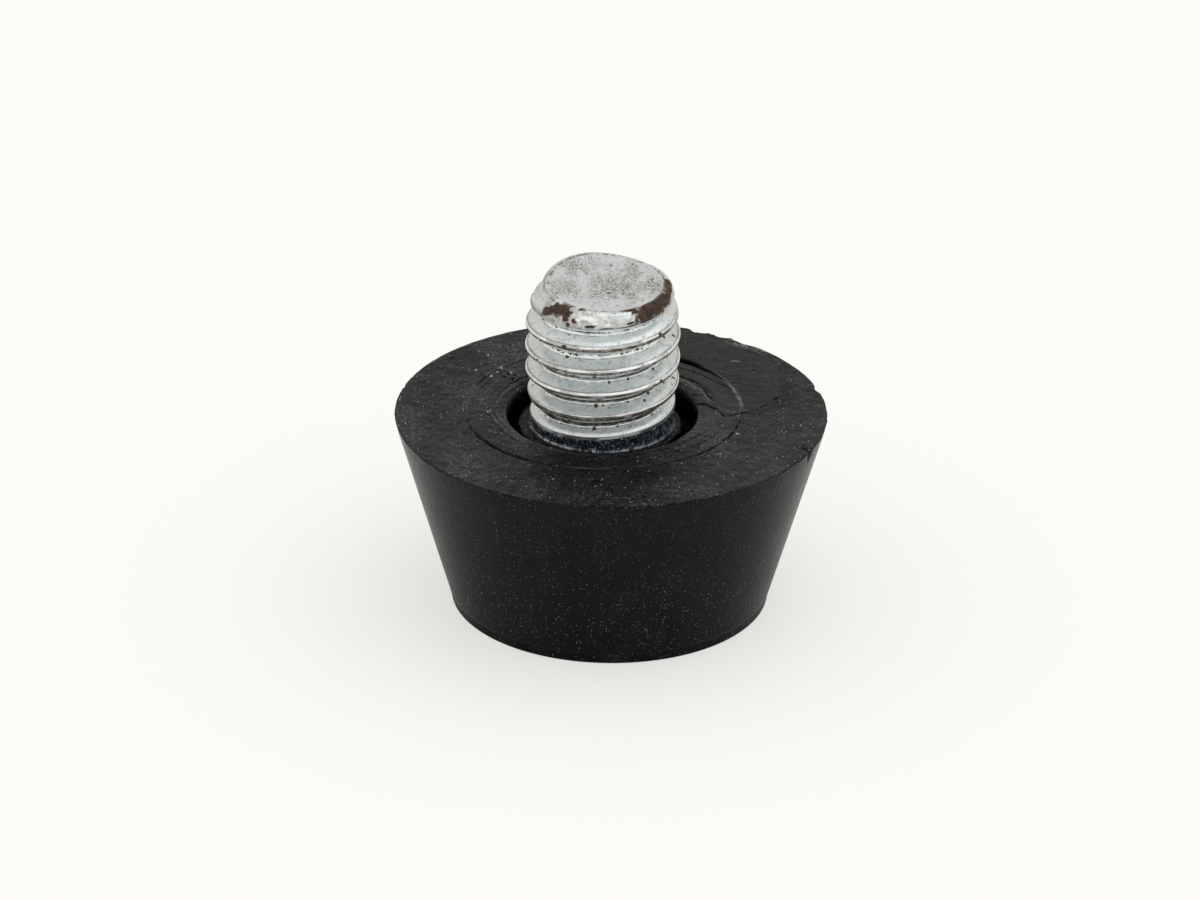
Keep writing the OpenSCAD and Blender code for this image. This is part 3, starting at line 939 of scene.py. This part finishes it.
    # in front of the stud the film is painted thin, as the stud's dark reflection, and it is thin at the left
    # back too
    studReflectionAndThinFilm = bell(x - 0.1, 3.0) * (1 - smoothStep(y, -5.2, -3.0))
    studReflectionAndThinFilm = np.maximum(studReflectionAndThinFilm, 0.3 * bell(np.hypot(x + 7, y - 5.5), 3.0))
    worn = bell(np.hypot(x, y) - rimR + 0.06, 0.05) * smoothStep(z, faceZ - 0.15, faceZ - 0.03)
    return meshPiece("rubber_cone", points, faces, {
        "side": side,
        "recess": recess,
        "skin": skin,
        "scratched": skin * along(around, cone["scratches"]),
        "cut": cut * onTop,
        "shaved": onTop * bell(nearLine(x, y, cone["shavedEdge"]), 0.3),
        "worn": worn * np.clip(0.35 + 0.8 * lumps(x, y, 0, 1.6, 27), 0, 1),
        "swirl": onTop * (1 - smoothStep(rho, 5.7, 6.6)),
        "studReflectionAndThinFilm": onTop * studReflectionAndThinFilm,
        "dark": dark * onTop,
        "light": np.maximum(light * onTop, foot),
    })


def rubberMaterial():
    # Moulded black rubber: nearly black, with a soft sheen that lifts to grey at grazing angles, a matt film
    # of pale dust with brighter specks, fine draw marks down the side, a smoother streaked face at the cut
    material, add = newMaterial("moulded_black_rubber")
    tint = coloursOf(rubberLook)
    inMm, painted = readPiece(add, ("side", "recess", "skin", "scratched", "cut", "shaved", "worn", "swirl",
                                    "studReflectionAndThinFilm", "dark", "light"))
    noise = {}
    for name, stretch, scale, detail, rough in rubberLook["noises"]:
        where = add("VectorMath", "MULTIPLY", inMm, stretch)
        noise[name] = add("TexNoise", {"Vector": where, "Scale": scale, "Detail": detail, "Roughness": rough})
    # a turned lie for film and strands: coarse along the circles about the ring's centre, fine across them
    out = add("VectorMath", "SUBTRACT", inMm, (cone["ringX"], cone["ringY"], faceZ))
    rho = add("VectorMath", "LENGTH", out).outputs["Value"]
    way = add("VectorMath", "SCALE", {0: add("VectorMath", "NORMALIZE", out), "Scale": 16})
    across = add("CombineXYZ", {"Z": add("Math", "MULTIPLY", rho, 3.4)})
    lie = add("VectorMath", "ADD", way, across)
    # film of dust in curls of about 0.3 mm, with a finer grain, thinner and thicker from place to place
    curls = add("TexNoise", {"Vector": lie, "Scale": 1, "Detail": 5, "Roughness": 0.7, "Distortion": 0.5})
    pepper = add("Math", "MULTIPLY", noise["pepper"], 0.4)
    film = add("Math", "ADD", add("Math", "MULTIPLY", curls, 0.6), pepper)
    onSmooth = add("Math", "MAXIMUM", painted["cut"], painted["side"])
    smoothFilm = add("MapRange", film, 0.3, 0.75, 0.2, 0.95)
    amount = add("MixRGB", onSmooth, smoothFilm, add("MapRange", film, 0.2, 0.84))
    amount = add("Math", "MULTIPLY", amount, add("MapRange", noise["wide"], 0.35, 0.65, 0.85, 1.1))
    # the side has hardly any clouds
    evenFilm = (rubberLook["sideFilm"],) * 3 + (1,)
    amount = add("MixRGB", add("Math", "MULTIPLY", painted["side"], 0.7), amount, evenFilm)
    # less film in front of the stud, a painted dark reflection of it, and at the left back
    amount = add("Math", "MULTIPLY", amount, add("MapRange", painted["studReflectionAndThinFilm"], 0, 1, 1, 0.3))
    colour = add("MixRGB", amount, tint["black"], tint["film"])
    # pale strands: thin contours of a noise, in patches
    bends = add("TexNoise", {"Vector": lie, "Scale": 0.7, "Detail": 2, "Distortion": 1.5})
    contour = add("MapRange", add("Math", "PINGPONG", bends, 0.05), 0.004, 0.014, 1, 0)
    strands = add("Math", "MULTIPLY", contour, add("MapRange", noise["wide"], 0.45, 0.62, 0.02, 0.3))
    strands = add("Math", "MULTIPLY", strands, add("MapRange", noise["pepper"], 0.4, 0.6, 0.2, 1))
    # specks: spacing in mm, radius as a share of the spacing, share of cells left out
    onDust = add("VectorMath", "MULTIPLY", inMm, (1, 0.5, 1))
    dots = []
    for spacing, size, left in rubberLook["dots"]:
        cells = add("TexVoronoi", {"Vector": onDust, "Scale": 1 / spacing})
        chance = add("MapRange", add("SeparateColor", cells.outputs["Color"]), left, 1)
        dots.append(add("Math", "MULTIPLY", add("MapRange", cells, size * 0.5, size, 1, 0), chance))
    specks = add("Math", "MAXIMUM", add("Math", "MAXIMUM", dots[0], dots[1]), dots[2])
    specks = add("Math", "MAXIMUM", specks, add("Math", "MULTIPLY", dots[3], painted["side"]))
    # the dust lies thin on the cut, and on the side in specks only, most of them low down
    rise = add("SeparateXYZ", inMm).outputs[2]
    onCut = add("MapRange", painted["cut"], 0, 1, 1, 0.2)
    kept = add("MixRGB", painted["side"], onCut, add("MapRange", rise, 2.5, 8.5, 0.58, 0.3))
    strands = add("Math", "MULTIPLY", strands, add("MapRange", onSmooth, 0, 1, 1, 0.2))
    dust = add("Math", "MULTIPLY", add("Math", "MAXIMUM", specks, strands), kept)
    # scuffed skin on the shank: bluish black with scratches up and down, 0.12 mm apart
    scored = add("Math", "MULTIPLY", add("MapRange", noise["scuff"], 0.54, 0.68), painted["scratched"])
    scuffed = add("MixRGB", scored, tint["skin"], tint["scuff"])
    dusty = add("Math", "MAXIMUM", add("MapRange", film, 0.57, 0.63), specks)
    scuffed = add("MixRGB", dusty, scuffed, tint["skinDust"])
    # painted highlights on lips, ridges and the foot of the skin, with bright dust specks, broken by the film
    shine = add("Math", "MULTIPLY", painted["light"], add("MapRange", film, 0.38, 0.52, 0.35, 1))
    # the rubbed edge, thin shaved rubber at the back of the rim, creases painted black as shade, and the
    # recess painted near black as shade, with brown earth in it
    broken = add("MapRange", film, 0.45, 0.6)
    worn, shaved = (add("Math", "MULTIPLY", painted[name], broken) for name in ("worn", "shaved"))
    dark, recess = (add("Math", "MULTIPLY", painted[name], 0.95) for name in ("dark", "recess"))
    earth = add("MixRGB", add("MapRange", noise["pepper"], 0.52, 0.68), tint["paintedShade"], tint["earth"])
    layers = [(dust, tint["dust"]), (painted["skin"], scuffed), (shine, tint["shine"]),
              (worn, tint["rubbed"]), (shaved, tint["shaved"]), (dark, tint["paintedShade"]), (recess, earth)]
    for share, layer in layers:
        colour = add("MixRGB", share, colour, layer)
    # relief: leathery grain, draw marks down the side, blade streaks on the cut, turned lines inside
    turned = add("CombineXYZ", {"X": add("Math", "MULTIPLY", rho, 7), "Y": film})
    lines = add("TexNoise", {"Vector": turned, "Scale": 1, "Detail": 3})
    height = add("MixRGB", painted["side"], noise["grain"], noise["draw"])
    height = add("MixRGB", painted["cut"], height, noise["streak"])
    height = add("MixRGB", add("Math", "MULTIPLY", painted["swirl"], 0.7), height, lines)
    strength = add("MapRange", onSmooth, 0, 1, 1, 0.3)
    relief = add("Bump", {"Height": height, "Strength": strength, "Distance": rubberLook["grainHeight"] * mm})
    rough = add("MapRange", film, 0.3, 0.7, rubberLook["roughLow"], rubberLook["roughHigh"])
    rough = add("Math", "MULTIPLY", rough, add("MapRange", painted["side"], 0, 1, 1, 0.9))
    # the sheen comes with the film; creases and the recess get hardly any, as painted shade
    hidden = add("Math", "MAXIMUM", painted["dark"], painted["recess"])
    sheen = add("MapRange", amount, 0, 1, rubberLook["sheenLow"], rubberLook["sheenHigh"])
    sheen = add("Math", "MULTIPLY", sheen, add("MapRange", hidden, 0, 1, 1, 0.04))
    turnedOrSmooth = add("Math", "MAXIMUM", onSmooth, painted["swirl"])
    sheen = add("Math", "MULTIPLY", sheen, add("MapRange", turnedOrSmooth, 0, 1, 1, 1.18))
    shader = add("BsdfPrincipled", {"Base Color": colour, "Roughness": rough, "IOR": rubberLook["ior"],
                                    "Specular IOR Level": sheen, "Normal": relief})
    add("OutputMaterial", shader)
    return material


rubberLook = {
    # noises drawn out along an axis: stretch, scale, detail, roughness
    "noises": (
        ("pepper", (1, 0.5, 1), 8, 2, 0.5),
        ("wide", (1, 0.6, 1), 0.4, 3, 0.5),
        ("scuff", (15, 15, 2.4), 1, 3, 0.5),
        ("grain", (1, 0.45, 1), 4.5, 5, 0.7),
        ("draw", (4, 4, 1), 1, 4, 0.5),
        ("streak", (0.5, 3, 3), 0.8, 4, 0.5),
    ),
    "dots": ((0.15, 0.24, 0.62), (0.36, 0.13, 0.5), (1.0, 0.06, 0.3), (0.2, 0.18, 0.35)),
    "black": "#030303",
    "paintedShade": "#000000",
    "earth": "#2e231b",
    "film": "#191919",
    "sideFilm": 0.47,
    "dust": "#9aa0a6",
    "shine": "#c3cbd2",
    "skin": "#1d2227",
    "scuff": "#93a1ac",
    "skinDust": "#b9c6d0",
    "rubbed": "#2e2e30",
    "shaved": "#8b8886",
    "sheenLow": 0.0,
    "sheenHigh": 0.15,
    "roughLow": 0.22,
    "roughHigh": 0.4,
    "grainHeight": 0.05,
    "ior": 1.5,
}
rubber = buildCone()
rubber.data.materials.append(rubberMaterial())
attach(rubber, "root")
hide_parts("rubber_foot")

bpy.context.scene.view_settings.view_transform = "Standard"
print("leveling foot: done")
